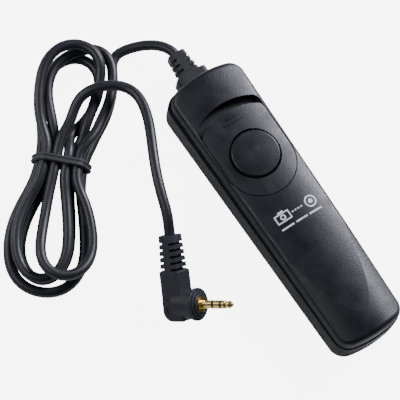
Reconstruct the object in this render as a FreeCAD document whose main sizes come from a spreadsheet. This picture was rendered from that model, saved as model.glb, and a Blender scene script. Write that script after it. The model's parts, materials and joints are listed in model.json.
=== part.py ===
import FreeCAD, Part
import math
import os
import Sketcher
from FreeCAD import Placement, Rotation, Vector

# Wired remote release for a camera: a tapered hand piece with a sliding lock plate
# and a two-stage button, a hank of cable held by a tie, and a right-angle jack plug.
# Millimetres.  Origin: centre of the flat back.  +Z out of the button face,
# +Y towards the cable end, +X to the right.

doc = FreeCAD.newDocument("remote_release")
sheet = doc.addObject("Spreadsheet::Sheet", "sheet")

SIZES = [
    # hand piece
    ("body_length", 98.2),
    ("head_half_width", 13.75),
    ("tail_half_width", 11.6),
    ("head_arch", 45.0),
    ("tail_arch", 38.0),
    ("corner_radius", 5.4),
    ("parting_height", 10.2),
    ("crown_height", 17.6),
    ("floor_thickness", 2.0),
    ("wall", 1.9),
    ("bottom_edge_fillet", 1.6),
    ("ledge_head", 0.9),
    ("ledge_tail", 0.35),
    ("groove_depth", 0.55),
    ("groove_height", 0.6),
    ("roof_height", 13.0),
    ("crown_radius", 40.0),
    ("tongue_radius", 21.5),
    ("tongue_rise", 2.23),
    ("tongue_slope", 3.19),
    ("top_edge_fillet", 1.8),
    # lock plate and its recess
    ("recess_half_width", 11.5),
    ("recess_low_y", 14.8),
    ("recess_top_y", 36.2),
    ("recess_bow", 24.0),
    ("recess_floor", 14.4),
    ("plate_gap", 0.28),
    ("plate_travel", 2.2),
    ("plate_bottom", 14.6),
    ("plate_drop", 0.12),
    ("leg_width", 1.3),
    ("leg_depth", 1.8),
    ("leg_foot_z", 11.9),
    ("hook_reach", 1.15),
    ("leg_x", 9.3),
    ("leg_low_y", 10.4),
    ("leg_high_y", 28.0),
    # button
    ("button_y", 17.4),
    ("button_hole", 8.1),
    ("button_radius", 7.65),
    ("button_press", 1.8),
    ("flange_radius", 9.0),
    # contacts
    ("leaf_width", 4.0),
    ("leaf_thickness", 0.3),
    ("leaf_pitch", 1.8),
    ("leaf_low", 6.3),
    ("leaf_axis_y", -16.25),
    ("leaf_tip_y", 22.0),
    ("leaf_tail_y", -20.6),
    # cable and boot
    ("cable_radius", 1.65),
    ("bore_radius", 1.05),
    ("core_radius", 0.85),
    ("cable_exit_z", 5.6),
    ("boot_end_y", 60.4),
    # plug
    ("plug_x", -43.8),
    ("plug_y", -7.45),
    ("plug_z", 5.4),
    ("plug_azimuth", -45.1),
    ("plug_elevation", 39.5),
    ("plug_roll", 30.9),
    ("pin_radius", 1.25),
    ("pin_length", 11.0),
    ("pin_shoulder", 9.5),
    ("relief_end_y", 21.2),
    # tie
    ("tie_x", -49.2),
    ("tie_y", 49.5),
    ("tie_turn", 47.0),
    ("row_low_z", 2.85),
    ("row_high_z", 5.8),
]
for row, (alias, number) in enumerate(SIZES, start=1):
    sheet.set("A%d" % row, alias)
    sheet.set("B%d" % row, str(number))
    sheet.setAlias("B%d" % row, alias)
doc.recompute()


def mm(alias):
    """A size from the spreadsheet as a plain number."""
    return float(sheet.get(alias))


NODES = []


def node(label, obj):
    """Remember the finished object of one sub-part under its node name."""
    obj.Label = label
    NODES.append((label, obj))
    return obj


# ---------------------------------------------------------------- helpers

def origin_plane(body, role):
    """The body's own origin plane with this role."""
    for feature in body.Origin.OriginFeatures:
        if feature.Role == role:
            return feature
    raise ValueError(role)


def new_sketch(body, name, role="XY_Plane", level="0"):
    """A sketch on an origin plane of the body, raised along its normal by an expression."""
    sketch = body.newObject("Sketcher::SketchObject", name)
    sketch.AttachmentSupport = (origin_plane(body, role), [""])
    sketch.MapMode = "FlatFace"
    sketch.setExpression("AttachmentOffset.Base.z", level)
    return sketch


def bind(sketch, constraint, name, expression):
    """Add a named constraint and drive it from the spreadsheet."""
    index = sketch.addConstraint(constraint)
    sketch.renameConstraint(index, name)
    sketch.setExpression("Constraints." + name, expression)


def close_loop(sketch, ids):
    """Join the end of each edge to the start of the next."""
    for first, second in zip(ids, ids[1:] + ids[:1]):
        sketch.addConstraint(Sketcher.Constraint("Coincident", first, 2, second, 1))


def arc_through(centre_x, centre_y, radius, start, end):
    """Counter-clockwise arc; angles in degrees."""
    circle = Part.Circle(Vector(centre_x, centre_y, 0), Vector(0, 0, 1), radius)
    return Part.ArcOfCircle(circle, math.radians(start), math.radians(end))


def outline(body, name, level, head_inset, tail_inset):
    """Plan of the hand piece: two straight tapering sides and two bowed ends."""
    sketch = new_sketch(body, name, level=level)
    head = mm("head_half_width") - 1
    tail = mm("tail_half_width") - 1
    head_r = mm("head_arch")
    tail_r = mm("tail_arch")
    head_rise = math.sqrt(head_r ** 2 - head ** 2)
    tail_rise = math.sqrt(tail_r ** 2 - tail ** 2)
    top = mm("body_length") / 2 - 1
    head_y = top - head_r + head_rise
    tail_y = -top + tail_r - tail_rise
    head_a = math.degrees(math.asin(head / head_r))
    tail_a = math.degrees(math.asin(tail / tail_r))
    edges = [
        Part.LineSegment(Vector(tail, tail_y, 0), Vector(head, head_y, 0)),
        arc_through(0, top - head_r, head_r, 90 - head_a, 90 + head_a),
        Part.LineSegment(Vector(-head, head_y, 0), Vector(-tail, tail_y, 0)),
        arc_through(0, tail_r - top, tail_r, 270 - tail_a, 270 + tail_a),
    ]
    ids = list(sketch.addGeometry(edges, False))
    close_loop(sketch, ids)
    sketch.addConstraint(Sketcher.Constraint("PointOnObject", 1, 3, -2))
    sketch.addConstraint(Sketcher.Constraint("PointOnObject", 3, 3, -2))
    sketch.addConstraint(Sketcher.Constraint("Horizontal", ids[0], 2, ids[2], 1))
    sketch.addConstraint(Sketcher.Constraint("Horizontal", ids[0], 1, ids[2], 2))
    bind(sketch, Sketcher.Constraint("DistanceX", -1, 1, ids[0], 2, head), "head_half",
         "sheet.head_half_width - (%s)" % head_inset)
    bind(sketch, Sketcher.Constraint("DistanceX", -1, 1, ids[0], 1, tail), "tail_half",
         "sheet.tail_half_width - (%s)" % tail_inset)
    bind(sketch, Sketcher.Constraint("Radius", ids[1], head_r), "head_arch", "sheet.head_arch")
    bind(sketch, Sketcher.Constraint("Radius", ids[3], tail_r), "tail_arch", "sheet.tail_arch")
    bind(sketch, Sketcher.Constraint("DistanceY", ids[1], 3, -1, 1, head_r - top), "head_centre",
         "sheet.head_arch - sheet.body_length / 2 + (%s)" % head_inset)
    bind(sketch, Sketcher.Constraint("DistanceY", -1, 1, ids[3], 3, tail_r - top), "tail_centre",
         "sheet.tail_arch - sheet.body_length / 2 + (%s)" % tail_inset)
    return sketch


def pad(body, sketch, name, length):
    feature = body.newObject("PartDesign::Pad", name)
    feature.Profile = sketch
    feature.setExpression("Length", length)
    doc.recompute()
    return feature


def pocket(body, sketch, name, length, upwards=False):
    feature = body.newObject("PartDesign::Pocket", name)
    feature.Profile = sketch
    feature.Reversed = upwards
    feature.setExpression("Length", length)
    doc.recompute()
    return feature


def edge_names(shape, wanted):
    """Names of the edges whose ends and midpoint pass the test."""
    return ["Edge%d" % (i + 1) for i, edge in enumerate(shape.Edges) if wanted(edge)]


def upright(edge):
    """Straight edge along Z."""
    a = edge.Vertexes[0].Point
    b = edge.Vertexes[-1].Point
    return abs(a.z - b.z) > 0.2 and abs(a.x - b.x) < 1e-4 and abs(a.y - b.y) < 1e-4


def fillet(body, base, name, radius, wanted):
    feature = body.newObject("PartDesign::Fillet", name)
    feature.Base = (base, edge_names(base.Shape, wanted))
    feature.setExpression("Radius", radius)
    doc.recompute()
    return feature


def new_body(name):
    return doc.addObject("PartDesign::Body", name)


def place(obj, x="0", y="0", z="0"):
    """Drive the object's position from expressions."""
    for axis, expression in (("x", x), ("y", y), ("z", z)):
        obj.setExpression("Placement.Base." + axis, expression)


def cylinder(name, radius, height, x="0", y="0", z="0", direction=None):
    obj = doc.addObject("Part::Cylinder", name)
    obj.setExpression("Radius", radius)
    obj.setExpression("Height", height)
    if direction:
        obj.Placement.Rotation = Rotation(Vector(0, 0, 1), Vector(*direction))
    place(obj, x, y, z)
    return obj


def box(name, length, width, height, x="0", y="0", z="0"):
    """Box with its low corner at x, y, z."""
    obj = doc.addObject("Part::Box", name)
    obj.setExpression("Length", length)
    obj.setExpression("Width", width)
    obj.setExpression("Height", height)
    place(obj, x, y, z)
    return obj


def cut(name, base, tool):
    obj = doc.addObject("Part::Cut", name)
    obj.Base = base
    obj.Tool = tool
    return obj


def fuse(name, shapes):
    obj = doc.addObject("Part::MultiFuse", name)
    obj.Shapes = shapes
    return obj


def common(name, shapes):
    obj = doc.addObject("Part::MultiCommon", name)
    obj.Shapes = shapes
    return obj


def solid(label, shape):
    """Sub-part whose shape is made in code from the sheet's sizes."""
    obj = doc.addObject("Part::Feature", label)
    obj.Shape = shape
    return obj


# ---------------------------------------------------------------- bottom shell

SCREW_PLACES = [("8.6", "40.6"), ("-8.6", "40.6"), ("0", "-38")]
CARRIER_SCREW_PLACES = [("3.6", "-10.6"), ("-3.6", "-10.6")]


def make_bottom_shell():
    """Deep tray: flat back, screw bosses, cable notch and cable posts."""
    body = new_body("bottom_tray")
    outer = outline(body, "tray_outline", "0", "0", "0")
    block = pad(body, outer, "tray_block", "sheet.parting_height")
    corners = fillet(body, block, "tray_corners", "sheet.corner_radius", upright)

    def on_back(edge):
        return all(v.Point.z < 0.01 for v in edge.Vertexes)

    eased = fillet(body, corners, "tray_back_edge", "sheet.bottom_edge_fillet", on_back)
    inner = outline(body, "tray_inner", "sheet.parting_height", "sheet.wall", "sheet.wall")
    hollow = pocket(body, inner, "tray_hollow", "sheet.parting_height - sheet.floor_thickness")
    tools = []
    bosses = [body]
    for number, (x, y) in enumerate(SCREW_PLACES):
        bosses.append(cylinder("tray_boss_%d" % number, "2.7",
                               "sheet.parting_height - sheet.floor_thickness - 0.3",
                               x, y, "sheet.floor_thickness"))
        tools.append(cylinder("tray_screw_way_%d" % number, "1.25", "12", x, y, "-1"))
        tools.append(cylinder("tray_head_well_%d" % number, "2.3", "2.3", x, y, "-1"))
    for number, (x, y) in enumerate(CARRIER_SCREW_PLACES):
        bosses.append(cylinder("carrier_boss_%d" % number, "2.2", "1.7",
                               x, y, "sheet.floor_thickness - 0.1"))
        tools.append(cylinder("carrier_pilot_%d" % number, "0.85", "3.2", x, y, "1"))
    for side, x in (("left", "-6"), ("right", "2.05")):
        bosses.append(box("cable_post_" + side, "3.95", "1.1", "6.1", x, "42.4", "1.9"))
    tools.append(box("boot_notch", "6.5", "6", "12", "-3.25", "46.5", "2.35"))
    whole = fuse("tray_with_bosses", bosses)
    return cut("bottom_shell_cut", whole, fuse("tray_tools", tools))


bottom_shell = node("bottom_shell", make_bottom_shell())


# ---------------------------------------------------------------- top shell

def plate_outline(body, name, level, grow, top_extra):
    """Recess or plate plan: half-round foot, straight sides, bowed top with round corners."""
    sketch = new_sketch(body, name, level=level)
    half = mm("recess_half_width")
    low = mm("recess_low_y")
    side_top = mm("recess_top_y") - 5.2
    bow = mm("recess_bow")
    bow_half = math.degrees(math.asin(half / bow))
    bow_y = side_top - math.sqrt(bow ** 2 - half ** 2)
    edges = [
        arc_through(0, low, half, 180, 360),
        Part.LineSegment(Vector(half, low, 0), Vector(half, side_top, 0)),
        arc_through(0, bow_y, bow, 90 - bow_half, 90 + bow_half),
        Part.LineSegment(Vector(-half, side_top, 0), Vector(-half, low, 0)),
    ]
    ids = list(sketch.addGeometry(edges, False))
    close_loop(sketch, ids)
    sketch.addConstraint(Sketcher.Constraint("PointOnObject", ids[0], 3, -2))
    sketch.addConstraint(Sketcher.Constraint("PointOnObject", ids[2], 3, -2))
    sketch.addConstraint(Sketcher.Constraint("Vertical", ids[1]))
    sketch.addConstraint(Sketcher.Constraint("Vertical", ids[3]))
    sketch.addConstraint(Sketcher.Constraint("Horizontal", ids[0], 3, ids[0], 1))
    sketch.addConstraint(Sketcher.Constraint("Horizontal", ids[0], 3, ids[0], 2))
    bind(sketch, Sketcher.Constraint("Radius", ids[0], half), "half_width",
         "sheet.recess_half_width + (%s)" % grow)
    bind(sketch, Sketcher.Constraint("DistanceY", -1, 1, ids[0], 3, low), "foot",
         "sheet.recess_low_y")
    bind(sketch, Sketcher.Constraint("Radius", ids[2], bow), "bow",
         "sheet.recess_bow + (%s)" % grow)
    bind(sketch, Sketcher.Constraint("DistanceY", -1, 1, ids[2], 3, bow_y), "bow_centre",
         "sheet.recess_top_y - sheet.recess_bow + (%s)" % top_extra)
    return sketch


def slot(name, radius, travel, height, x, y, z):
    """Upright slot tool: a cylinder drawn out along +Y by the travel."""
    first = cylinder(name + "_near", radius, height, x, y, z)
    last = cylinder(name + "_far", radius, height, x, "(%s) + (%s)" % (y, travel), z)
    middle = box(name + "_middle", "2 * (%s)" % radius, travel, height,
                 "(%s) - (%s)" % (x, radius), y, z)
    return fuse(name, [first, last, middle])


def make_crown(name, drop):
    """Long horizontal cylinder whose upper side is the crown, lowered by drop."""
    return cylinder(name, "sheet.crown_radius", "140", "0", "-70",
                    "sheet.crown_height - (%s) - sheet.crown_radius" % drop, (0, 1, 0))


def make_tongue(name, drop):
    """Tighter, slightly tilted cylinder that shapes the shoulders of the tail end."""
    obj = cylinder(name, "sheet.tongue_radius", "220", direction=(0, 1, 0))
    tilt = mm("tongue_slope")
    turn = Rotation(Vector(1, 0, 0), tilt).multiply(Rotation(Vector(0, 0, 1), Vector(0, 1, 0)))
    obj.Placement.Rotation = turn
    run = "110 * cos(sheet.tongue_slope * 1 deg)"
    climb = "110 * sin(sheet.tongue_slope * 1 deg)"
    place(obj, "0", "-" + run,
          "sheet.crown_height + sheet.tongue_rise - (%s) - sheet.tongue_radius - %s" % (drop, climb))
    return obj


def make_top_shell():
    """Crowned cover with the plate recess, button opening, leg slots and lock shelf."""
    foot = new_body("cover_foot")
    foot_plan = outline(foot, "cover_foot_plan", "sheet.parting_height",
                        "sheet.ledge_head + sheet.groove_depth",
                        "sheet.ledge_tail + sheet.groove_depth")
    foot_block = pad(foot, foot_plan, "cover_foot_block", "sheet.groove_height + 0.2")
    fillet(foot, foot_block, "cover_foot_corners", "sheet.corner_radius - 1", upright)

    body = new_body("cover_blank")
    plan = outline(body, "cover_plan", "sheet.parting_height + sheet.groove_height",
                   "sheet.ledge_head", "sheet.ledge_tail")
    block = pad(body, plan, "cover_block", "12")
    fillet(body, block, "cover_corners", "sheet.corner_radius - 0.6", upright)
    form = common("cover_form", [body, make_crown("crown_cover", "0"),
                                 make_tongue("tongue_cover", "0")])
    doc.recompute()

    eased = doc.addObject("Part::Fillet", "cover_eased")
    eased.Base = form
    limit = mm("parting_height") + mm("groove_height") + 0.3

    def on_wall(edge):
        # one of the two faces that meet at the edge is an upright outer wall
        faces = form.Shape.ancestorsOfType(edge, Part.Face)
        walls = 0
        for face in faces:
            u0, u1, v0, v1 = face.ParameterRange
            normal = face.normalAt((u0 + u1) / 2, (v0 + v1) / 2)
            if abs(normal.z) < 0.05:
                walls += 1
        return walls == 1 and len(faces) == 2

    def rim(edge):
        return edge.BoundBox.ZMin > limit and on_wall(edge)

    picked = [i + 1 for i, edge in enumerate(form.Shape.Edges) if rim(edge)]
    radius = mm("top_edge_fillet")
    eased.Edges = [(i, radius, radius) for i in picked]
    doc.recompute()

    hollow = new_body("cover_hollow")
    hollow_plan = outline(hollow, "cover_hollow_plan", "sheet.parting_height - 1",
                          "sheet.wall + sheet.ledge_head - 0.3",
                          "sheet.wall + sheet.ledge_tail - 0.3")
    pad(hollow, hollow_plan, "cover_hollow_block",
        "sheet.roof_height - sheet.parting_height + 1")

    recess = new_body("plate_recess")
    recess_plan = plate_outline(recess, "recess_plan", "sheet.recess_floor", "0", "0")
    recess_block = pad(recess, recess_plan, "recess_block", "6")
    fillet(recess, recess_block, "recess_corners", "2.6",
           lambda e: upright(e) and e.Vertexes[0].Point.y > 25)

    tools = [hollow, recess]
    tools.append(slot("button_opening", "sheet.flange_radius + 0.25", "sheet.plate_travel",
                      "4", "0", "sheet.button_y", "11.5"))
    for side, x in (("left", "-1"), ("right", "1")):
        for level in ("low", "high"):
            tools.append(box("leg_way_%s_%s" % (side, level), "sheet.leg_width + 0.5",
                             "sheet.leg_depth + 0.2 + sheet.plate_travel", "3",
                             "%s * sheet.leg_x - sheet.leg_width / 2 - 0.25" % x,
                             "sheet.leg_%s_y - sheet.leg_depth / 2 - 0.1" % level, "12"))
    cut_once = cut("cover_opened", fuse("cover_shell", [eased, foot]), fuse("cover_tools", tools))

    bosses = [cut_once]
    pilots = []
    for number, (x, y) in enumerate(SCREW_PLACES):
        bosses.append(cylinder("cover_boss_%d" % number, "2.7",
                               "sheet.roof_height - sheet.parting_height + 0.2",
                               x, y, "sheet.parting_height - 0.1"))
        pilots.append(cylinder("cover_pilot_%d" % number, "1.05", "5.0", x, y, "9.5"))
    bosses.append(box("lock_shelf", "6", "2.2", "0.5", "-3", "27.3", "12.75"))
    bosses.append(box("notch_tab", "6.2", "1.8", "0.8", "-3.1", "46.6",
                      "sheet.parting_height - 0.7"))
    return cut("top_shell_cut", fuse("cover_with_bosses", bosses),
               fuse("cover_pilots", pilots))


top_shell = node("top_shell", make_top_shell())


# ---------------------------------------------------------------- lock plate

def make_slide_plate():
    """Crowned plate with a round button hole, four hooked legs and a raised arrow."""
    body = new_body("plate_blank")
    plan = plate_outline(body, "plate_plan", "sheet.plate_bottom", "0 - sheet.plate_gap",
                         "0 - sheet.plate_travel - 0.5")
    block = pad(body, plan, "plate_block", "6")
    fillet(body, block, "plate_corners", "2.4",
           lambda e: upright(e) and e.Vertexes[0].Point.y > 25)
    form = common("plate_form", [body, make_crown("plate_crown", "sheet.plate_drop")])
    hole = cylinder("plate_hole", "sheet.button_hole", "12", "0", "sheet.button_y", "10")
    pieces = [cut("plate_pierced", form, hole)]
    for side in (-1, 1):
        for level in ("low", "high"):
            name = "%s_%s" % ("left" if side < 0 else "right", level)
            near_y = "sheet.leg_%s_y - sheet.leg_depth / 2" % level
            pieces.append(box("leg_" + name, "sheet.leg_width", "sheet.leg_depth", "3.4",
                              "%d * sheet.leg_x - sheet.leg_width / 2" % side,
                              near_y, "sheet.leg_foot_z"))
            hook_x = "sheet.leg_x" if side > 0 else "0 - sheet.leg_x - sheet.hook_reach"
            pieces.append(box("hook_" + name, "sheet.hook_reach", "sheet.leg_depth", "0.9",
                              hook_x, near_y, "sheet.leg_foot_z"))
    return fuse("slide_plate_fused", pieces)


def raised_mark():
    """Arrow head above a bar, standing 0.25 proud of the plate crown near its top."""
    body = new_body("plate_mark")
    sketch = new_sketch(body, "mark_plan", level="15")
    bar_y = 29.2
    tip_y = 32.3
    bar = [Vector(-3.4, bar_y, 0), Vector(3.4, bar_y, 0),
           Vector(3.4, bar_y + 0.7, 0), Vector(-3.4, bar_y + 0.7, 0)]
    arrow = [Vector(-2.0, tip_y - 1.5, 0), Vector(2.0, tip_y - 1.5, 0), Vector(0, tip_y, 0)]
    for corners in (bar, arrow):
        edges = [Part.LineSegment(a, b) for a, b in zip(corners, corners[1:] + corners[:1])]
        close_loop(sketch, list(sketch.addGeometry(edges, False)))
    pad(body, sketch, "mark_block", "4")
    return common("mark_form", [body, make_crown("mark_crown", "sheet.plate_drop - 0.25")])


slide_plate = node("slide_plate", fuse("slide_plate_whole", [make_slide_plate(), raised_mark()]))


# ---------------------------------------------------------------- shutter button

def make_button():
    """Round cap with a soft edge and a faint dish, a retaining flange and a stem."""
    r = mm("button_radius")
    flange = mm("flange_radius")
    body = new_body("button_turned")
    sketch = new_sketch(body, "button_profile", "XZ_Plane")
    rim_z = mm("crown_height") + 0.05
    edge_r = 0.7
    dish = 62.0
    stem_r = 1.2
    flange_z = 13.4
    flange_top = flange_z + 1.0
    rim_x = r - edge_r
    dish_angle = math.degrees(math.asin(rim_x / dish))
    middle_z = rim_z + dish * (1 - math.cos(math.radians(dish_angle)))
    # the stem's round end sits just above the upper leaf
    stem_z = mm("leaf_low") + 2 * mm("leaf_pitch") + mm("leaf_thickness") / 2 + 0.05
    edges = [
        Part.LineSegment(Vector(0, middle_z, 0), Vector(0, stem_z, 0)),
        arc_through(0, stem_z + stem_r, stem_r, 270, 360),
        Part.LineSegment(Vector(stem_r, stem_z + stem_r, 0), Vector(stem_r, flange_z, 0)),
        Part.LineSegment(Vector(stem_r, flange_z, 0), Vector(flange, flange_z, 0)),
        Part.LineSegment(Vector(flange, flange_z, 0), Vector(flange, flange_top, 0)),
        Part.LineSegment(Vector(flange, flange_top, 0), Vector(r, flange_top, 0)),
        Part.LineSegment(Vector(r, flange_top, 0), Vector(r, rim_z - edge_r, 0)),
        arc_through(rim_x, rim_z - edge_r, edge_r, 0, 90),
        arc_through(0, middle_z - dish, dish, 90 - dish_angle, 90),
    ]
    close_loop(sketch, list(sketch.addGeometry(edges, False)))
    turn = body.newObject("PartDesign::Revolution", "button_turn")
    turn.Profile = sketch
    turn.ReferenceAxis = (sketch, ["V_Axis"])
    turn.Angle = 360
    place(body, "0", "sheet.button_y", "0")
    return body


shutter_button = node("shutter_button", make_button())


# ---------------------------------------------------------------- contacts

def make_carrier():
    """Moulded block that clamps the three spring leaves one above the other."""
    base = box("carrier_base", "11.6", "13.4", "1.4", "-5.8", "-18.3", "3.6")
    tower = box("carrier_tower", "8.4", "4.1", "7.4", "-4.2", "-18.3", "3.6")
    tools = []
    for level in range(3):
        tools.append(box("leaf_way_%d" % level, "sheet.leaf_width + 0.2", "8",
                         "sheet.leaf_thickness + 0.3",
                         "0 - sheet.leaf_width / 2 - 0.1", "-20",
                         "sheet.leaf_low + %d * sheet.leaf_pitch - 0.5 * sheet.leaf_thickness - 0.15"
                         % level))
    for number, (x, y) in enumerate(CARRIER_SCREW_PLACES):
        tools.append(cylinder("carrier_hole_%d" % number, "0.95", "6", x, y, "2"))
    return cut("carrier_cut", fuse("carrier_block", [base, tower]),
               fuse("carrier_tools", tools))


contact_carrier = node("contact_carrier", make_carrier())


def make_leaf(name, level):
    """Flat spring with a pointed tip and a small contact rivet on its upper side."""
    z = "sheet.leaf_low + %d * sheet.leaf_pitch" % level
    strip = box(name + "_strip", "sheet.leaf_width",
                "sheet.leaf_tip_y - sheet.leaf_tail_y", "sheet.leaf_thickness",
                "0 - sheet.leaf_width / 2", "sheet.leaf_tail_y",
                z + " - sheet.leaf_thickness / 2")
    if level == 2:
        return strip
    rivet = cylinder(name + "_rivet", "0.9", "0.44 + sheet.leaf_thickness / 2", "0", "21", z)
    return fuse(name + "_whole", [strip, rivet])


shutter_leaf = node("shutter_leaf", make_leaf("lower_leaf", 0))
focus_leaf = node("focus_leaf", make_leaf("middle_leaf", 1))
common_leaf = node("common_leaf", make_leaf("upper_leaf", 2))


# ---------------------------------------------------------------- screws

def make_screw(name, head_r, head_h, shank_r, length, places, z, upwards):
    """Pan-head screws as one group; each screw is a separate solid."""
    solids = []
    for x, y in places:
        x = float(x)
        y = float(y)
        head = Part.makeCylinder(head_r, head_h)
        head = head.makeFillet(head_h * 0.45, [e for e in head.Edges
                                               if abs(e.BoundBox.ZMax) < 1e-4
                                               and abs(e.BoundBox.ZMin) < 1e-4])
        shank = Part.makeCylinder(shank_r, length, Vector(0, 0, head_h))
        slot_a = Part.makeBox(head_r * 1.2, 0.45, head_h * 0.5,
                              Vector(-head_r * 0.6, -0.225, 0))
        slot_b = Part.makeBox(0.45, head_r * 1.2, head_h * 0.5,
                              Vector(-0.225, -head_r * 0.6, 0))
        whole = head.fuse(shank).cut(slot_a).cut(slot_b).removeSplitter()
        if not upwards:
            whole.rotate(Vector(0, 0, 0), Vector(1, 0, 0), 180)
        whole.translate(Vector(x, y, z))
        solids.append(whole.Solids[0])
    return solid(name, Part.makeCompound(solids))


housing_screws = node("housing_screws",
                      make_screw("housing_screws", 2.05, 1.15, 1.0, 12.6,
                                 SCREW_PLACES, 0.15, True))
carrier_screws = node("carrier_screws",
                      make_screw("carrier_screws", 1.5, 0.8, 0.75, 3.6,
                                 CARRIER_SCREW_PLACES, 5.85, False))


# ---------------------------------------------------------------- cable boot

def rounded_tube(name, half_near, half_far, start, end, corner):
    """Square bar with rounded edges along +Y, tapering from start to end."""
    sections = []
    for half, y in ((half_near, start), (half_far, end)):
        points = [Vector(-half, y, -half), Vector(half, y, -half),
                  Vector(half, y, half), Vector(-half, y, half)]
        sections.append(Part.makePolygon(points + points[:1]))
    bar = Part.makeLoft(sections, True, True)
    long_edges = [e for e in bar.Edges if e.BoundBox.YLength > (end - start) * 0.9]
    return bar.makeFillet(corner, long_edges)


def strain_relief(near, far, start, end, slots, pitch, width, spine):
    """Tapering relief sleeve along +Y with side slots that leave a spine above and below."""
    sleeve = rounded_tube("sleeve", near, far, start, end, 1.1)
    for number in range(slots):
        y = end - 2.4 - number * pitch
        for side in (-1, 1):
            x = spine if side > 0 else -spine - 6
            sleeve = sleeve.cut(Part.makeBox(6, width, 12, Vector(x, y - width / 2, -6)))
    return sleeve


def make_boot():
    """Rubber boot: neck held in the end wall, outer flange, slotted relief sleeve."""
    start = mm("body_length") / 2 + 0.12
    end = mm("boot_end_y")
    flange = Part.makeBox(10.6, 3.1, 8.4, Vector(-5.3, start, -4.2))
    flange = flange.makeFillet(1.6, [e for e in flange.Edges if e.BoundBox.YLength > 3])
    flange = flange.makeFillet(0.6, [e for e in flange.Edges
                                     if e.BoundBox.YMin > start + 3.05])
    neck = Part.makeBox(6.2, 5.0, 6.4, Vector(-3.1, start - 4.0, -3.1))
    grip = Part.makeBox(9.4, 1.5, 6.8, Vector(-4.7, start - 4.0, -3.3))
    sleeve = strain_relief(3.55, 2.85, start + 2.0, end, 3, 1.95, 0.8, 1.25)
    whole = flange.fuse([neck, grip, sleeve])
    way = mm("cable_radius") + 0.12
    whole = whole.cut(Part.makeCylinder(way, 40, Vector(0, start - 10, 0), Vector(0, 1, 0)))
    # the mouth flares so the cable can leave at an angle
    whole = whole.cut(Part.makeCone(way, way + 0.45, 4.0, Vector(0, end - 3.9, 0),
                                    Vector(0, 1, 0)))
    whole.translate(Vector(0, 0, mm("cable_exit_z")))
    return solid("cable_boot", whole.removeSplitter())


cable_boot = node("cable_boot", make_boot())


# ---------------------------------------------------------------- plug

def plug_placement():
    """Where the plug lies: local X along the pin, local Y towards the cable."""
    turn = Rotation(Vector(0, 0, 1), mm("plug_azimuth"))
    turn = turn.multiply(Rotation(Vector(0, 1, 0), -mm("plug_elevation")))
    turn = turn.multiply(Rotation(Vector(1, 0, 0), mm("plug_roll")))
    return Placement(Vector(mm("plug_x"), mm("plug_y"), mm("plug_z")), turn)


PLUG = plug_placement()
ALONG_PIN = Vector(1, 0, 0)


def on_plug(obj):
    """Put a shape made in the plug's own frame where the plug lies."""
    obj.Placement = PLUG
    return obj


def disc(radius, start, end):
    """Cylinder on the pin axis from start to end."""
    return Part.makeCylinder(radius, end - start, Vector(start, 0, 0), ALONG_PIN)


def tube(outer, inner, start, end):
    return disc(outer, start, end).cut(disc(inner, start - 1, end + 1))


CORE_BOX = (Vector(-2.6, -2.9, -2.3), Vector(2.7, 8.4, 2.3))


def block_between(low, high, grow=0.0):
    size = high - low + Vector(2 * grow, 2 * grow, 2 * grow)
    return Part.makeBox(size.x, size.y, size.z, low - Vector(grow, grow, grow))


def make_overmould():
    """Right-angle moulded body with a round stepped nose, three bars and a relief sleeve."""
    half_z = 3.25
    nose = Part.makeBox(7.2, 6.6, 2 * half_z, Vector(-3.5, -4.9, -half_z))
    heel = [e for e in nose.Edges if e.BoundBox.ZLength > 6 and e.BoundBox.XMax < -3
            and e.BoundBox.YMax < -4]
    nose = nose.makeFillet(3.2, heel)
    upper = Part.makeBox(6.9, 9.0, 2 * half_z - 0.5, Vector(-3.35, 1.5, 0.25 - half_z))
    body = nose.fuse(upper).removeSplitter()
    soft = [e for e in body.Edges if e.BoundBox.YMin > 10.4 or e.BoundBox.YMax < 1.4]
    body = body.makeFillet(0.45, soft)
    bars = [Part.makeBox(0.55, 2.3, 0.5, Vector(x, -2.6, half_z - 0.22))
            for x in (-1.75, -0.5, 0.75)]
    body = body.cut(Part.makeCompound(bars))
    steps = [(4.6, 0.5, 7.0), (5.0, 6.9, 7.9), (4.15, 7.8, 8.4), (3.3, 8.3, 8.9)]
    for radius, start, end in steps:
        ring = disc(radius, start, end)
        rim = [e for e in ring.Edges if abs(e.BoundBox.XMin - end) < 1e-3
               and abs(e.BoundBox.XMax - end) < 1e-3]
        body = body.fuse(ring.makeFillet(0.28, rim))
    sleeve = strain_relief(3.25, 2.8, 9.0, mm("relief_end_y"), 5, 1.95, 0.8, 1.25)
    body = body.fuse(sleeve)
    body = body.cut(block_between(CORE_BOX[0], CORE_BOX[1], 0.03))
    body = body.cut(disc(2.05, 0, 12))
    body = body.cut(Part.makeCylinder(mm("cable_radius") + 0.06, 20, Vector(0, 8, 0),
                                      Vector(0, 1, 0)))
    return solid("plug_overmould", body.removeSplitter())


plug_overmould = node("plug_overmould", on_plug(make_overmould()))


def make_plug_core():
    """Inner moulding that holds the contacts, with an open chamber for the wires."""
    block = block_between(CORE_BOX[0], CORE_BOX[1])
    chamber = block_between(Vector(-2.0, -1.7, -1.5), Vector(2.1, 9, 1.5))
    return solid("plug_core", block.cut(chamber).cut(disc(2.05, 2, 12)))


plug_core = node("plug_core", on_plug(make_plug_core()))

# contact lengths along the pin, measured from the shoulder
SLEEVE_END = 3.6
REAR_RING_END = 4.4
RING_END = 6.45
FRONT_RING_END = 7.25


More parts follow.
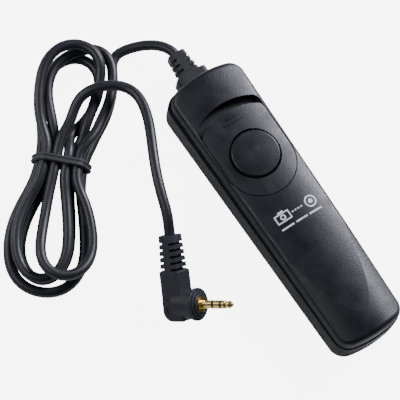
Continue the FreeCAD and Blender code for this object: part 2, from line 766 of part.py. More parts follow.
def make_pin_parts():
    """The nested contacts of a three-pole pin and the two insulators between them."""
    r = mm("pin_radius")
    at = mm("pin_shoulder")
    tip_x = at + mm("pin_length")
    barrel_r = 1.45
    sleeve = tube(r, 1.06, at - 0.3, at + SLEEVE_END)
    sleeve = sleeve.fuse([tube(2.35, 1.06, at - 0.6, at), tube(2.0, 1.06, 2.7, at - 0.6),
                          tube(barrel_r, 1.06, 0.9, 2.8)])
    rear = tube(1.05, 0.83, 0.2, at + REAR_RING_END)
    rear = rear.fuse(tube(r - 0.02, 0.83, at + SLEEVE_END, at + REAR_RING_END))
    ring = tube(0.82, 0.6, -0.6, at + RING_END)
    ring = ring.fuse(tube(r, 0.6, at + REAR_RING_END, at + RING_END))
    front = tube(0.59, 0.37, -1.0, at + FRONT_RING_END)
    front = front.fuse(tube(r - 0.02, 0.37, at + RING_END, at + FRONT_RING_END))
    start = at + FRONT_RING_END
    profile = [Vector(-1.7, 0, 0), Vector(-1.7, 0.36, 0), Vector(start, 0.36, 0),
               Vector(start, r, 0), Vector(start + 0.9, r, 0), Vector(start + 1.35, 0.85, 0),
               Vector(start + 1.75, 0.85, 0), Vector(start + 2.25, 1.2, 0),
               Vector(start + 2.6, 1.15, 0), Vector(tip_x - 0.35, 0.62, 0),
               Vector(tip_x, 0.3, 0), Vector(tip_x, 0, 0)]
    face = Part.Face(Part.makePolygon(profile + profile[:1]))
    tip = face.revolve(Vector(0, 0, 0), ALONG_PIN, 360)
    return {"plug_sleeve": sleeve, "plug_rear_insulator": rear, "plug_ring": ring,
            "plug_front_insulator": front, "plug_tip": tip}


for label, shape in make_pin_parts().items():
    node(label, on_plug(solid(label, shape.removeSplitter())))


def bend(start, heading, end):
    """Arc that leaves start along heading and reaches end: centre, axis, degrees, or None."""
    chord = end - start
    sideways = chord - heading * chord.dot(heading)
    if sideways.Length < 1e-4 * chord.Length:
        return None
    inward = Vector(sideways).normalize()
    radius = chord.dot(chord) / (2 * chord.dot(inward))
    angle = 2 * math.degrees(math.asin(min(1, chord.Length / (2 * radius))))
    return start + inward * radius, heading.cross(inward), angle


def joint_point(start, heading, end, last_heading):
    """Point where two equal-reach arcs join smoothly between two headed points."""
    chord = end - start
    both = heading + last_heading
    turn = 2 * (1 - heading.dot(last_heading))
    along = chord.dot(both)
    if turn < 1e-7:
        reach = chord.dot(chord) / (4 * chord.dot(last_heading))
    else:
        reach = (-along + math.sqrt(along ** 2 + turn * chord.dot(chord))) / turn
    return (start + end + (heading - last_heading) * reach) * 0.5


def cable_bends(curve, spacing):
    """The cable's run as a chain of straight stretches and arcs."""
    stops = curve.discretize(Number=int(curve.length() / spacing))
    headings = [curve.tangent(curve.parameter(p))[0] for p in stops]
    pieces = []
    for k in range(len(stops) - 1):
        middle = joint_point(stops[k], headings[k], stops[k + 1], headings[k + 1])
        for start, heading, end in ((stops[k], headings[k], middle),
                                    (stops[k + 1], headings[k + 1] * -1, middle)):
            arc = bend(start, heading, end)
            if start is stops[k]:
                pieces.append((arc, end - start))
            elif arc:
                centre, axis, angle = arc
                pieces.append(((centre, axis * -1, angle), start - end))
            else:
                pieces.append((None, start - end))
    return stops[0], headings[0], pieces


def tube_skin(start, heading, pieces, radius):
    """Faces of a round tube along the chain, with the rims at its two ends."""
    rim = Part.makeCircle(radius, start, heading)
    near = Part.Wire(rim)
    faces = []
    for arc, run in pieces:
        if arc:
            centre, axis, angle = arc
            faces += rim.revolve(centre, axis, angle).Faces
            rim = rim.copy()
            rim.rotate(centre, axis, angle)
        else:
            faces += rim.extrude(run).Faces
            rim = rim.copy()
            rim.translate(run)
    return faces, near, Part.Wire(rim)


def swept_on(start, heading, pieces, outer, inner=None):
    """Round bar, or tube when an inner radius is given, along the chain of bends."""
    faces, near, far = tube_skin(start, heading, pieces, outer)
    if inner is None:
        faces += [Part.Face(near), Part.Face(far)]
    else:
        lining, inner_near, inner_far = tube_skin(start, heading, pieces, inner)
        faces += [face.reversed() for face in lining]
        faces += [Part.Face([near, inner_near]), Part.Face([far, inner_far])]
    skin = Part.makeCompound(faces)
    skin.sewShape()
    bar = Part.Solid(skin.Shells[0] if skin.Shells else Part.Shell(skin.Faces))
    if inner is None:
        return bar if bar.Volume > 0 else Part.Solid(bar.Shells[0].reversed())
    bar.fix(0.001, 0.0001, 0.01)
    return bar


def swept(points, radius, spacing=1.6):
    """Round bar along a smooth curve through the points."""
    curve = Part.BSplineCurve()
    curve.interpolate(Points=points)
    start, heading, pieces = cable_bends(curve, spacing)
    return swept_on(start, heading, pieces, radius)


def make_plug_wires():
    """Three fine wires from the cable core to the backs of the contacts."""
    wires = []
    for start_x, end_x, end_y in ((-0.5, -1.35, 0.41), (0, -0.1, 0.87), (0.5, 1.5, 1.51)):
        points = [Vector(start_x, 7.4, 0), Vector(start_x, 6.0, 0),
                  Vector((start_x + end_x) / 2, 4.2, 0), Vector(end_x, 2.4, 0),
                  Vector(end_x, end_y, 0)]
        wires.append(swept(points, 0.2))
    return solid("plug_wires", Part.makeCompound(wires))


plug_wires = node("plug_wires", on_plug(make_plug_wires()))


# ---------------------------------------------------------------- cable

def bundle_point(u, v, z):
    """Point of the hank: u along the strands, v across them, from the tie's centre."""
    turn = math.radians(mm("tie_turn"))
    x = mm("tie_x") + u * math.cos(turn) + v * math.sin(turn)
    y = mm("tie_y") + u * math.sin(turn) - v * math.cos(turn)
    return Vector(x, y, z)


FLAT = 1.72      # centre height of cable lying on the table
SECOND = 5.15    # lying across one strand
THIRD = 8.6      # lying across two strands
LOW = mm("row_low_z")
HIGH = mm("row_high_z")


def pass_tie(lane, row, up):
    """Points of one strand through the tie."""
    ends = [(-3.4, lane, row), (0, lane, row), (3.4, lane, row)]
    return ends if up else ends[::-1]


def hank_points():
    """The cable's run, in hank coordinates, from the hand piece's lead to the plug's."""
    run = [(33, 10.2, FLAT), (24, 11.2, FLAT), (13, 9.4, FLAT)]
    run += pass_tie(6.8, LOW, False)
    # lowest loop below the tie
    run += [(-12, 8.8, FLAT), (-22, 11.4, FLAT), (-32, 12.0, FLAT), (-38.6, 8.2, FLAT),
            (-41, 2, FLAT), (-39.6, -4, FLAT), (-34.5, -8.9, FLAT), (-24, -11.2, FLAT),
            (-13, -9.2, FLAT)]
    run += pass_tie(-6.8, LOW, True)
    # small loop above the tie
    run += [(12, -8.5, FLAT), (20, -9.9, FLAT), (27, -9.9, FLAT), (33, -6.8, FLAT),
            (35.8, -1.0, FLAT), (34.2, 3.8, FLAT), (29, 6.6, FLAT), (21, 6.3, FLAT),
            (13, 3.2, FLAT), (8.5, 1.3, 3.3)]
    run += pass_tie(1.75, HIGH, False)
    # second loop below, lying on the first
    run += [(-11, 3.4, SECOND), (-21, 5.9, SECOND), (-30, 6.7, SECOND), (-35.8, 4.4, SECOND),
            (-38, 0.2, SECOND), (-36, -4.6, SECOND), (-30, -8.2, SECOND), (-21, -9.2, SECOND),
            (-12, -7.2, SECOND)]
    run += pass_tie(-5.2, HIGH, True)
    # tallest loop above, crossing over its neighbour
    run += [(9.6, -7.5, 5.8), (18.5, -10.4, 7.0), (27, -11.2, 8.2), (33.6, -9.0, THIRD),
            (37.2, -4.8, THIRD), (37.6, 0.4, THIRD), (34.6, 5.0, THIRD), (29, 6.7, 7.0),
            (22, 6.5, 5.5), (13, 5.5, 4.9), (8.5, 4.8, 3.5)]
    run += pass_tie(3.4, LOW, False)
    # small flat loop below
    run += [(-12, 4.9, FLAT), (-22, 6.9, FLAT), (-31, 6.8, FLAT), (-36.4, 3.2, FLAT),
            (-37.4, -1.2, FLAT), (-35, -5.0, FLAT), (-29, -7.3, FLAT), (-20, -7.2, FLAT),
            (-12, -5.2, FLAT)]
    run += pass_tie(-3.4, LOW, True)
    # right-hand loop above
    run += [(10, -4.6, 4.4), (17, -7.4, SECOND), (25, -8.7, SECOND), (32.5, -6.6, SECOND),
            (37.0, -1.0, SECOND), (38.6, 4.4, SECOND), (35.8, 8.5, SECOND),
            (30, 10.6, SECOND), (24, 11.0, SECOND), (14.3, 9.0, SECOND)]
    run += pass_tie(5.2, HIGH, False)
    # front loop below
    run += [(-10.3, 8.6, 5.5), (-19.2, 12.8, 5.3), (-28, 14.2, 6.0), (-34.3, 11.5, 7.8),
            (-36.6, 6.2, THIRD), (-34.2, 1.2, THIRD), (-28, -1.2, 7.4), (-20, -1.7, 5.8),
            (-12, -1.9, 5.4)]
    run += pass_tie(-1.75, HIGH, True)
    # up the middle and over the right-hand strands
    run += [(12.8, 0.2, 6.6), (20.4, 1.9, 8.6)]
    return [bundle_point(*point) for point in run]


def cable_route():
    """Control points from the boot to the plug's relief."""
    exit_z = mm("cable_exit_z")
    end = mm("boot_end_y") + 1.0
    lead = [Vector(0, end, exit_z), Vector(-1.5, end + 3.4, 5.2), Vector(-5.1, end + 6.8, 4.2),
            Vector(-10.3, end + 9.2, 2.8), Vector(-15.9, end + 9.5, FLAT)]
    tail = [Vector(-29.0, 62.9, 10.4), Vector(-22.9, 60.2, 10.9), Vector(-19.5, 55.8, 11.4),
            Vector(-19.4, 50.5, 12.4), Vector(-21.5, 43.9, 14.2), Vector(-24.7, 37.4, 15.9),
            Vector(-28.1, 30.6, 17.0), Vector(-31.4, 22.3, 17.2)]
    relief = mm("relief_end_y")
    tail += [PLUG.multVec(Vector(0, relief + 5, 0)), PLUG.multVec(Vector(0, relief + 1, 0))]
    return lead + hank_points() + tail


def settle(points, gap, floor, rounds, free):
    """Push apart any two stretches of cable closer than gap, keeping the run smooth."""
    cell = gap
    count = len(points)
    for turn in range(rounds):
        grid = {}
        for i, p in enumerate(points):
            key = (int(p.x // cell), int(p.y // cell), int(p.z // cell))
            grid.setdefault(key, []).append(i)
        moves = [Vector(0, 0, 0) for _ in points]
        for (a, b, c), members in grid.items():
            near = []
            for da in (-1, 0, 1):
                for db in (-1, 0, 1):
                    for dc in (-1, 0, 1):
                        near += grid.get((a + da, b + db, c + dc), [])
            for i in members:
                for j in near:
                    if j - i < 8:
                        continue
                    apart = points[j] - points[i]
                    length = apart.Length
                    if length >= gap or length < 1e-6:
                        continue
                    push = apart * ((gap - length) / length * 0.5)
                    moves[i] = moves[i] - push
                    moves[j] = moves[j] + push
        smooth = 0.25 if turn < rounds - 12 else 0.1
        for i in range(2, count - 2):
            if not free[i]:
                continue
            middle = (points[i - 1] + points[i + 1]) * 0.5
            bent = (points[i - 2] + points[i + 2]) * 0.5
            target = middle * 1.3333 - bent * 0.3333
            points[i] = points[i] + (target - points[i]) * smooth + moves[i] * 0.6
            if points[i].z < floor:
                points[i].z = floor
    return points


def straight(start, end, count):
    """Evenly spaced points from start up to, but not including, end."""
    return [start + (end - start) * (k / count) for k in range(count)]


def make_cable_path():
    """Straight stretches inside boot and plug joined by the settled free run."""
    route = cable_route()
    rough = Part.BSplineCurve()
    rough.interpolate(Points=route)
    samples = rough.discretize(Number=int(rough.length()) + 1)
    tie = Vector(mm("tie_x"), mm("tie_y"), 0)
    along = bundle_point(1, 0, 0) - bundle_point(0, 0, 0)
    across = bundle_point(0, 1, 0) - bundle_point(0, 0, 0)
    free = []
    for i, p in enumerate(samples):
        in_tie = abs((p - tie).dot(along)) < 2.6 and abs((p - tie).dot(across)) < 10
        ends = i < 3 or i > len(samples) - 6
        free.append(not in_tie and not ends)
    samples = settle(samples, 2 * mm("cable_radius") + 0.2, FLAT, 110, free)
    step = 4
    kept = samples[:-1:step]
    if len(samples) - 1 - (len(kept) - 1) * step < 3:
        kept = kept[:-1]
    kept.append(samples[-1])
    inside = straight(Vector(0, 43.0, mm("cable_exit_z")), kept[0], 5)
    plug_end = PLUG.multVec(Vector(0, 9.2, 0))
    into_plug = straight(kept[-1], plug_end, 4)[1:] + [plug_end]
    smooth = Part.BSplineCurve()
    smooth.interpolate(Points=inside + kept + into_plug)
    return smooth


CABLE_CURVE = make_cable_path()


CHAIN_START, CHAIN_HEADING, CHAIN = cable_bends(CABLE_CURVE, 6.5)
cable_jacket = node("cable_jacket", solid("cable_jacket", swept_on(
    CHAIN_START, CHAIN_HEADING, CHAIN, mm("cable_radius"), mm("bore_radius"))))


def make_core():
    """Inner conductor bundle: runs in the bore and stands out at both ends."""
    before = CHAIN_HEADING * 1.5
    after = (PLUG.multVec(Vector(0, 7.6, 0)) - PLUG.multVec(Vector(0, 9.2, 0)))
    pieces = [(None, before)] + CHAIN + [(None, after)]
    return swept_on(CHAIN_START - before, CHAIN_HEADING, pieces, mm("core_radius"))


cable_core = node("cable_core", solid("cable_core", make_core()))


# ---------------------------------------------------------------- tie

def hull_wire(radius, u):
    """Outline at a distance around the four corner strands, in the plane u."""
    corners = [(-6.8, LOW), (6.8, LOW), (5.2, HIGH), (-5.2, HIGH)]
    count = len(corners)
    normals = []
    for k in range(count):
        (v0, z0), (v1, z1) = corners[k], corners[(k + 1) % count]
        size = math.hypot(v1 - v0, z1 - z0)
        normals.append(((z1 - z0) / size, -(v1 - v0) / size))
    edges = []
    for k in range(count):
        v, z = corners[k]
        before = normals[k - 1]
        after = normals[k]
        middle = math.hypot(before[0] + after[0], before[1] + after[1])
        arc = [bundle_point(u, v + radius * n[0], z + radius * n[1]) for n in
               (before, ((before[0] + after[0]) / middle, (before[1] + after[1]) / middle),
                after)]
        edges.append(Part.Arc(*arc).toShape())
        following = corners[(k + 1) % count]
        end = bundle_point(u, following[0] + radius * after[0],
                           following[1] + radius * after[1])
        edges.append(Part.makeLine(arc[2], end))
    return Part.Wire(Part.__sortEdges__(edges))


def band(inner, outer, u, width):
    """Closed band around the bundle."""
    along = bundle_point(1, 0, 0) - bundle_point(0, 0, 0)
    face = Part.Face(hull_wire(outer, u)).cut(Part.Face(hull_wire(inner, u)))
    return face.extrude(along * width)


def make_tie():
    """Flat tie with two raised ribs running round it."""
    inner = mm("cable_radius") + 0.25
    tie = band(inner, inner + 0.55, -1.15, 2.3)
    ribs = [band(inner, inner + 0.78, u, 0.5) for u in (-0.95, 0.45)]
    return solid("cable_tie", tie.fuse(ribs).removeSplitter())


cable_tie = node("cable_tie", make_tie())


# ---------------------------------------------------------------- wires in the hand piece

def make_wire(name, side, start, lane_x, lane_z, back_y, leaf):
    """One insulated wire from the cable core, round the leaves, to a leaf's tail."""
    leaf_z = mm("leaf_low") + leaf * mm("leaf_pitch")
    tail_y = mm("leaf_tail_y") - 0.12
    end_x = side * 0.95
    points = [
        Vector(*start),
        Vector(start[0] + side * 0.5, 39.2, start[2] - 0.2),
        Vector(side * 4.2, 34.6, (start[2] + lane_z) / 2),
        Vector(side * lane_x, 27, lane_z),
        Vector(side * lane_x, 8, lane_z),
        Vector(side * lane_x, -12, lane_z),
        Vector(side * (lane_x - 1.2), back_y + 3.5, (lane_z * 2 + leaf_z) / 3),
        Vector(side * 3.6, back_y, (lane_z + 3 * leaf_z) / 4),
        Vector(end_x, tail_y - 2.6, leaf_z),
        Vector(end_x, tail_y, leaf_z),
    ]
    return solid(name, swept(points, 0.4, 3.0))


wire_common = node("wire_common", make_wire("wire_common", 1, (0.46, 41.44, 5.85),
                                            8.0, 3.1, -25.2, 2))
wire_focus = node("wire_focus", make_wire("wire_focus", -1, (-0.46, 41.44, 5.85),
                                          7.1, 3.6, -24.6, 1))
wire_shutter = node("wire_shutter", make_wire("wire_shutter", -1, (0.0, 41.44, 5.05),
                                              8.5, 2.7, -26.6, 0))


# ---------------------------------------------------------------- check and write

doc.recompute()
for obj in doc.Objects:
    if "Invalid" in obj.State or "Error" in obj.State:
        raise RuntimeError("%s is in state %s" % (obj.Label, obj.State))
os.makedirs("parts", exist_ok=True)
for label, obj in NODES:
    shape = obj.Shape
    if shape.isNull() or not shape.isValid():
        raise RuntimeError(label + " has no valid shape")
    shape.exportStep("parts/%s.step" % label)
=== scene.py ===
import json
import math

import bmesh
import bpy
from mathutils import Matrix, Vector


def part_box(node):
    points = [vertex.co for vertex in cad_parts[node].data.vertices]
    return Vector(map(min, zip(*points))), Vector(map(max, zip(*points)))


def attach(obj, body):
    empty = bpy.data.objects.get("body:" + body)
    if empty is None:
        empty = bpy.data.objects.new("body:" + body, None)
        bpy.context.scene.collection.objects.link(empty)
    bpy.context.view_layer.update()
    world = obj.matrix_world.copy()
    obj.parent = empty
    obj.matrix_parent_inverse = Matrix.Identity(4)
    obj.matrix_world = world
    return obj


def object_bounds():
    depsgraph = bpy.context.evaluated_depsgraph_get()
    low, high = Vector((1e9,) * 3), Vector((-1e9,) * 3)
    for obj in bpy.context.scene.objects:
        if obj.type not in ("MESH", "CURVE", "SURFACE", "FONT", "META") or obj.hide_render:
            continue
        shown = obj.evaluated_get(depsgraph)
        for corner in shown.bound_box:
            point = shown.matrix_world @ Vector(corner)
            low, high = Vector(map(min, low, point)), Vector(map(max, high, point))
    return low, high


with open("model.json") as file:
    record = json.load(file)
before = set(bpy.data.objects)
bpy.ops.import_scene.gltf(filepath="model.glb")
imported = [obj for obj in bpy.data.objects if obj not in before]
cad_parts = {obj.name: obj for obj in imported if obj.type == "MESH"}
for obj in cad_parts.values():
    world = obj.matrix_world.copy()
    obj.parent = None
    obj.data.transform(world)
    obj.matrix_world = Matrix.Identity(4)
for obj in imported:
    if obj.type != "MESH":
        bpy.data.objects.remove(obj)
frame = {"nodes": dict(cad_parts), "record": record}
cad_low, cad_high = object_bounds()

MM = 0.001


# ------------------------------------------------------------ material helpers

class Shader:
    """A small builder for one node material."""

    def __init__(self, name):
        self.material = bpy.data.materials.new(name)
        self.material.use_nodes = True
        self.tree = self.material.node_tree
        self.tree.nodes.clear()
        self.out = self.node("ShaderNodeOutputMaterial")
        self.bsdf = self.node("ShaderNodeBsdfPrincipled")
        self.link(self.bsdf.outputs["BSDF"], self.out.inputs["Surface"])
        self.coords = self.node("ShaderNodeTexCoord").outputs["Object"]

    def node(self, kind, **settings):
        made = self.tree.nodes.new(kind)
        for key, value in settings.items():
            setattr(made, key, value)
        return made

    def link(self, a, b):
        self.tree.links.new(a, b)

    def noise(self, scale, detail=4.0, rough=0.55, stretch=None):
        source = self.coords
        if stretch:
            mapping = self.node("ShaderNodeMapping")
            mapping.inputs["Scale"].default_value = stretch
            self.link(source, mapping.inputs["Vector"])
            source = mapping.outputs["Vector"]
        made = self.node("ShaderNodeTexNoise")
        made.inputs["Scale"].default_value = scale
        made.inputs["Detail"].default_value = detail
        made.inputs["Roughness"].default_value = rough
        self.link(source, made.inputs["Vector"])
        return made.outputs["Fac"]

    def ramp(self, fac, stops):
        """Colour ramp; stops are (position, (r, g, b))."""
        made = self.node("ShaderNodeValToRGB")
        elements = made.color_ramp.elements
        while len(elements) < len(stops):
            elements.new(0.5)
        for element, (position, colour) in zip(elements, stops):
            element.position = position
            element.color = (*colour, 1.0)
        self.link(fac, made.inputs["Fac"])
        return made.outputs["Color"]

    def spread(self, fac, low, high, start=0.0, end=1.0):
        """Remap a 0-1 value to low-high."""
        made = self.node("ShaderNodeMapRange")
        made.inputs["From Min"].default_value = start
        made.inputs["From Max"].default_value = end
        made.inputs["To Min"].default_value = low
        made.inputs["To Max"].default_value = high
        self.link(fac, made.inputs["Value"])
        return made.outputs["Result"]

    def mix(self, fac, a, b):
        made = self.node("ShaderNodeMix", data_type="RGBA")
        self.link(fac, made.inputs["Factor"])
        for socket, value in (("A", a), ("B", b)):
            target = [s for s in made.inputs if s.name == socket and s.type == "RGBA"][0]
            if isinstance(value, tuple):
                target.default_value = (*value, 1.0)
            else:
                self.link(value, target)
        return [s for s in made.outputs if s.type == "RGBA"][0]

    def bump(self, heights):
        """Chain of bumps; heights are (value socket, strength, distance in metres)."""
        normal = None
        for height, strength, distance in heights:
            made = self.node("ShaderNodeBump")
            made.inputs["Strength"].default_value = strength
            made.inputs["Distance"].default_value = distance
            self.link(height, made.inputs["Height"])
            if normal:
                self.link(normal, made.inputs["Normal"])
            normal = made.outputs["Normal"]
        self.link(normal, self.bsdf.inputs["Normal"])

    def edges(self):
        """Brighter along worn outer edges."""
        pointed = self.node("ShaderNodeNewGeometry").outputs["Pointiness"]
        return self.spread(pointed, 0.0, 1.0, 0.52, 0.60)


def moulded(name, dark, light, rough, grain=2600.0, grain_height=0.00002, sheen=0.0,
            wear=0.25, spec=0.5):
    """Moulded plastic: cloudy tone, fine spark-eroded grain, faint scuffs on edges."""
    s = Shader(name)
    cloud = s.noise(60.0, 5.0)
    tone = s.ramp(cloud, [(0.3, dark), (0.7, light)])
    scuffs = s.noise(420.0, 3.0, stretch=(1.0, 0.2, 1.0))
    worn = s.node("ShaderNodeMath", operation="MULTIPLY")
    s.link(s.edges(), worn.inputs[0])
    s.link(s.spread(scuffs, 0.0, wear, 0.4, 0.75), worn.inputs[1])
    pale = tuple(min(1.0, c * 3.0 + 0.03) for c in light)
    s.link(s.mix(worn.outputs[0], tone, pale), s.bsdf.inputs["Base Color"])
    grain_noise = s.noise(grain, 2.0)
    s.link(s.spread(s.noise(180.0, 4.0), rough - 0.06, rough + 0.08, 0.3, 0.7),
           s.bsdf.inputs["Roughness"])
    s.bsdf.inputs["Specular IOR Level"].default_value = spec
    s.bsdf.inputs["Sheen Weight"].default_value = sheen
    s.bsdf.inputs["Sheen Roughness"].default_value = 0.5
    s.bump([(grain_noise, 0.55, grain_height), (s.noise(90.0, 2.0), 0.1, 0.00005)])
    return s.material


def metal(name, dark, light, rough, brushed=(1.0, 1.0, 1.0), scratch=0.15):
    """Plated or rolled metal with fine drawing marks and slight tarnish."""
    s = Shader(name)
    s.bsdf.inputs["Metallic"].default_value = 1.0
    tone = s.ramp(s.noise(240.0, 5.0), [(0.3, dark), (0.65, light)])
    s.link(tone, s.bsdf.inputs["Base Color"])
    marks = s.noise(1800.0, 3.0, stretch=brushed)
    s.link(s.spread(marks, rough * 0.7, rough * 1.5, 0.3, 0.7), s.bsdf.inputs["Roughness"])
    s.bump([(marks, scratch, 0.00001)])
    return s.material


def wire_coat(name, dark, light):
    """Thin extruded insulation with a soft gloss and faint lengthwise flow."""
    s = Shader(name)
    s.link(s.ramp(s.noise(300.0, 4.0), [(0.3, dark), (0.7, light)]),
           s.bsdf.inputs["Base Color"])
    s.link(s.spread(s.noise(500.0), 0.3, 0.5, 0.3, 0.7), s.bsdf.inputs["Roughness"])
    s.bump([(s.noise(1500.0, 2.0), 0.2, 0.00001)])
    return s.material


CASE_DARK = (0.0050, 0.0058, 0.0095)
CASE_LIGHT = (0.0080, 0.0092, 0.0145)
FINISH = {
    "shell_black": moulded("case_plastic", CASE_DARK, CASE_LIGHT, 0.42, 1900.0, 0.00008,
                           spec=0.6),
    "plate_black": moulded("plate_plastic", CASE_DARK, CASE_LIGHT, 0.44, 1900.0, 0.00008,
                           spec=0.6),
    "button_black": moulded("button_plastic", (0.005, 0.0058, 0.010), (0.008, 0.0092, 0.0145),
                            0.42, 1900.0, 0.00008, spec=0.6),
    "boot_rubber": moulded("boot_rubber", (0.008, 0.0085, 0.012), (0.014, 0.015, 0.02), 0.52,
                           1800.0, sheen=0.15, spec=0.5),
    "cable_black": moulded("cable_sheath", (0.006, 0.007, 0.011), (0.010, 0.012, 0.018), 0.44,
                           1100.0, 0.00004, sheen=0.1, wear=0.05, spec=0.6),
    "tie_grey": moulded("tie_plastic", (0.030, 0.031, 0.036), (0.050, 0.052, 0.058), 0.5,
                        1500.0, spec=0.45),
    "plug_black": moulded("plug_plastic", (0.014, 0.016, 0.023), (0.022, 0.025, 0.034), 0.5,
                          1500.0, 0.00006, spec=0.55),
    "insulator_black": moulded("insulator", (0.008, 0.008, 0.01), (0.015, 0.015, 0.018), 0.35,
                               2000.0),
    "carrier_plastic": moulded("carrier_plastic", (0.52, 0.50, 0.44), (0.62, 0.60, 0.54), 0.45,
                               1500.0),
    "core_grey": wire_coat("core_filler", (0.42, 0.42, 0.40), (0.55, 0.54, 0.52)),
    "contact_gold": metal("gold_plate", (0.86, 0.56, 0.15), (1.0, 0.78, 0.32), 0.26,
                          (6.0, 6.0, 1.0)),
    "leaf_bronze": metal("spring_bronze", (0.55, 0.33, 0.14), (0.72, 0.48, 0.24), 0.28,
                         (1.0, 0.08, 1.0)),
    "screw_steel": metal("zinc_steel", (0.48, 0.49, 0.50), (0.66, 0.67, 0.68), 0.3),
    "wire_red": wire_coat("wire_red", (0.42, 0.02, 0.015), (0.60, 0.04, 0.03)),
    "wire_white": wire_coat("wire_white", (0.62, 0.61, 0.56), (0.78, 0.77, 0.73)),
    "wire_yellow": wire_coat("wire_yellow", (0.58, 0.42, 0.03), (0.75, 0.56, 0.07)),
}

slots = {part["node"]: part["material_slot"] for part in frame["record"]["subparts"]}
for name, obj in frame["nodes"].items():
    obj.data.materials.clear()
    obj.data.materials.append(FINISH[slots[name]])


# ------------------------------------------------------------ printed marks

shell_low, shell_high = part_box("top_shell")
CROWN_TOP = shell_high.z
CROWN_RADIUS = 40.0 * MM
PRINT_LIFT = 0.03 * MM


def crown_height(x):
    """Height of the cover's crown at a distance from the middle plane."""
    return CROWN_TOP - CROWN_RADIUS + math.sqrt(CROWN_RADIUS ** 2 - x ** 2)


class Print:
    """Thin ink shapes laid on the crown; sizes in millimetres."""

    def __init__(self):
        self.mesh = bmesh.new()

    def patch(self, rows):
        """Quads between successive rows of points."""
        grid = []
        for row in rows:
            line = []
            for x, y in row:
                x *= MM
                y *= MM
                line.append(self.mesh.verts.new((x, y, crown_height(x) + PRINT_LIFT)))
            grid.append(line)
        for low, high in zip(grid, grid[1:]):
            for k in range(len(low) - 1):
                self.mesh.faces.new((low[k], low[k + 1], high[k + 1], high[k]))

    def bar(self, x0, x1, y0, y1):
        """Filled bar, cut finely along x so it follows the crown."""
        count = max(2, int(abs(x1 - x0) / 0.4))
        self.patch([[(x0 + (x1 - x0) * k / count, y) for k in range(count + 1)]
                    for y in (y0, y1)])

    def ring(self, x, y, inner, outer, start=0.0, end=360.0):
        """Flat ring, or a disc when inner is 0; angles in degrees."""
        count = max(6, int(abs(end - start) / 10))
        angles = [math.radians(start + (end - start) * k / count) for k in range(count + 1)]
        self.patch([[(x + radius * math.cos(a), y + radius * math.sin(a)) for a in angles]
                    for radius in (inner, outer)])

    def finish(self, name, material, body):
        """Make the shapes one piece that rides the body."""
        bmesh.ops.recalc_face_normals(self.mesh, faces=self.mesh.faces[:])
        data = bpy.data.meshes.new(name)
        self.mesh.to_mesh(data)
        self.mesh.free()
        obj = bpy.data.objects.new(name, data)
        bpy.context.collection.objects.link(obj)
        data.materials.append(material)
        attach(obj, body)
        return obj


def ink(name):
    """Pad-printed white ink with slightly broken cover."""
    s = Shader(name)
    s.link(s.ramp(s.noise(900.0, 5.0), [(0.25, (0.55, 0.56, 0.58)), (0.5, (0.86, 0.87, 0.88))]),
           s.bsdf.inputs["Base Color"])
    s.link(s.spread(s.noise(700.0), 0.4, 0.6, 0.3, 0.7), s.bsdf.inputs["Roughness"])
    s.bump([(s.noise(2500.0, 2.0), 0.2, 0.00001)])
    return s.material


def make_print():
    """Generic camera, cable and button pictograms over a broken rule."""
    art = Print()
    # camera: frame, lens and finder
    left, right, low, high = -7.0, -1.9, -5.5, -2.5
    stroke = 0.45
    finder_inset, finder_height = 1.6, 0.55
    art.bar(left, right, low, low + stroke)
    art.bar(left, right, high - stroke, high)
    art.bar(left, left + stroke, low, high)
    art.bar(right - stroke, right, low, high)
    art.ring((left + right) / 2, (low + high) / 2, 0.45, 0.95)
    art.bar(left + finder_inset, right - finder_inset, high, high + finder_height)
    # dashes for the cable between camera and button
    first_dash, dash_pitch = (-1.3, -0.65), 1.05
    for k in range(4):
        start, end = (x + dash_pitch * k for x in first_dash)
        art.bar(start, end, -4.2, -3.75)
    # button: rim and centre
    button_x, button_y = 5.6, -4.0
    art.ring(button_x, button_y, 1.45, 1.95)
    art.ring(button_x, button_y, 0.0, 0.75)
    # broken rule underneath
    rule_low, rule_high = -7.6, -7.05
    for start, end in ((-7.0, -2.6), (-1.9, 2.3), (3.0, 7.6)):
        art.bar(start, end, rule_low, rule_high)
    return art.finish("printed_marks", ink("white_ink"), "housing")


make_print()


# ------------------------------------------------------------ stage, light, camera

FLOOR_HALF = 3.0
FLOOR_GAP = 0.2 * MM
FLOOR_GLOW = 6.5     # keeps the backdrop white without lighting the object


def stage_floor():
    """Seamless pale floor under the object."""
    mesh = bmesh.new()
    bmesh.ops.create_grid(mesh, x_segments=1, y_segments=1, size=FLOOR_HALF)
    data = bpy.data.meshes.new("floor")
    mesh.to_mesh(data)
    mesh.free()
    floor = bpy.data.objects.new("floor", data)
    bpy.context.collection.objects.link(floor)
    floor.location.z = cad_low.z - FLOOR_GAP
    s = Shader("floor_paper")
    s.link(s.ramp(s.noise(12.0), [(0.3, (0.90, 0.90, 0.91)), (0.7, (0.93, 0.93, 0.94))]),
           s.bsdf.inputs["Base Color"])
    s.bsdf.inputs["Roughness"].default_value = 0.9
    s.bsdf.inputs["Specular IOR Level"].default_value = 0.1
    s.bsdf.inputs["Emission Color"].default_value = (1, 1, 1, 1)
    seen = s.node("ShaderNodeLightPath").outputs["Is Camera Ray"]
    s.link(s.spread(seen, 0.0, FLOOR_GLOW), s.bsdf.inputs["Emission Strength"])
    data.materials.append(s.material)


def camera_axes(azimuth, elevation, roll):
    """Right, up and backward directions of a rolled camera."""
    a, e, r = (math.radians(v) for v in (azimuth, elevation, roll))
    back = Vector((math.sin(a) * math.cos(e), -math.cos(a) * math.cos(e), math.sin(e)))
    right = Vector((0, 0, 1)).cross(back).normalized()
    up = back.cross(right)
    turned = right * math.cos(r) + up * math.sin(r)
    return turned, back.cross(turned), back


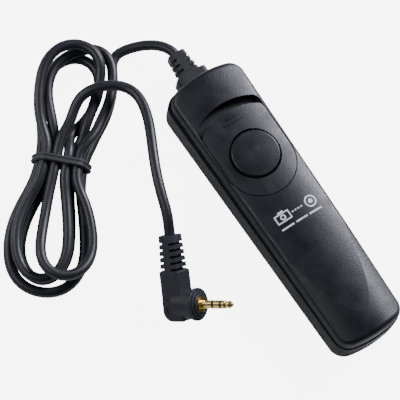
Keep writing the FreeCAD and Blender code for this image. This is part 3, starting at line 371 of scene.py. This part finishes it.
def area_light(name, target, direction, distance, size, power, colour=(1, 1, 1)):
    """Soft square light aimed at the target from a direction."""
    light = bpy.data.lights.new(name, "AREA")
    light.shape = "RECTANGLE"
    light.size, light.size_y = size
    light.energy = power
    light.color = colour
    obj = bpy.data.objects.new(name, light)
    bpy.context.collection.objects.link(obj)
    direction = direction.normalized()
    obj.location = target + direction * distance
    obj.rotation_euler = direction.to_track_quat("Z", "Y").to_euler()


RIGHT, UP, BACK = camera_axes(-49.6, 71.6, 16.8)
CAMERA_DISTANCE = 0.6045
LOOK_AT = RIGHT * (-25.0 * MM) + UP * (5.0 * MM)
LENS_MM = 174.8
SENSOR_MM = 36.0

stage_floor()
lens = bpy.data.cameras.new("camera")
lens.lens = LENS_MM
lens.sensor_width = SENSOR_MM
lens.clip_start = 0.01
camera = bpy.data.objects.new("camera", lens)
bpy.context.collection.objects.link(camera)
camera.matrix_world = Matrix.Translation(LOOK_AT + BACK * CAMERA_DISTANCE) @ Matrix(
    (RIGHT, UP, BACK)).transposed().to_4x4()
bpy.context.scene.camera = camera

centre = (cad_low + cad_high) / 2
shoulder = Vector((shell_high.x, 0.0, shell_high.z))
coil_low, coil_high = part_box("cable_tie")
coil = (coil_low + coil_high) / 2
pin_low, pin_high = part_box("plug_ring")
pin = (pin_low + pin_high) / 2
COOL = (0.88, 0.90, 1.0)
area_light("key", shoulder, Vector((0.82, 0.20, 0.53)), 0.7, (0.22, 0.22), 7.5, COOL)
area_light("fill", centre, Vector((-0.5, 0.3, 0.8)), 0.8, (0.3, 0.3), 0.5, COOL)
area_light("coil_light", coil, Vector((-0.60, 0.10, 0.78)), 0.4, (0.16, 0.16), 0.26, COOL)
area_light("pin_light", pin, Vector((-0.45, 0.75, 0.45)), 0.25, (0.10, 0.10), 0.14)


ROOM_LIGHT = 0.12        # even light from all round
ROOM_MIRRORED = 0.03     # the same room as reflections see it, so black stays black


def studio_world():
    """Even white surroundings, dimmed where they would be mirrored."""
    world = bpy.data.worlds.new("studio")
    world.use_nodes = True
    tree = world.node_tree
    glow = tree.nodes["Background"]
    glow.inputs["Color"].default_value = (1, 1, 1, 1)
    path = tree.nodes.new("ShaderNodeLightPath")
    level = tree.nodes.new("ShaderNodeMapRange")
    level.inputs["To Min"].default_value = ROOM_LIGHT
    level.inputs["To Max"].default_value = ROOM_MIRRORED
    tree.links.new(path.outputs["Is Glossy Ray"], level.inputs["Value"])
    tree.links.new(level.outputs["Result"], glow.inputs["Strength"])
    bpy.context.scene.world = world


studio_world()
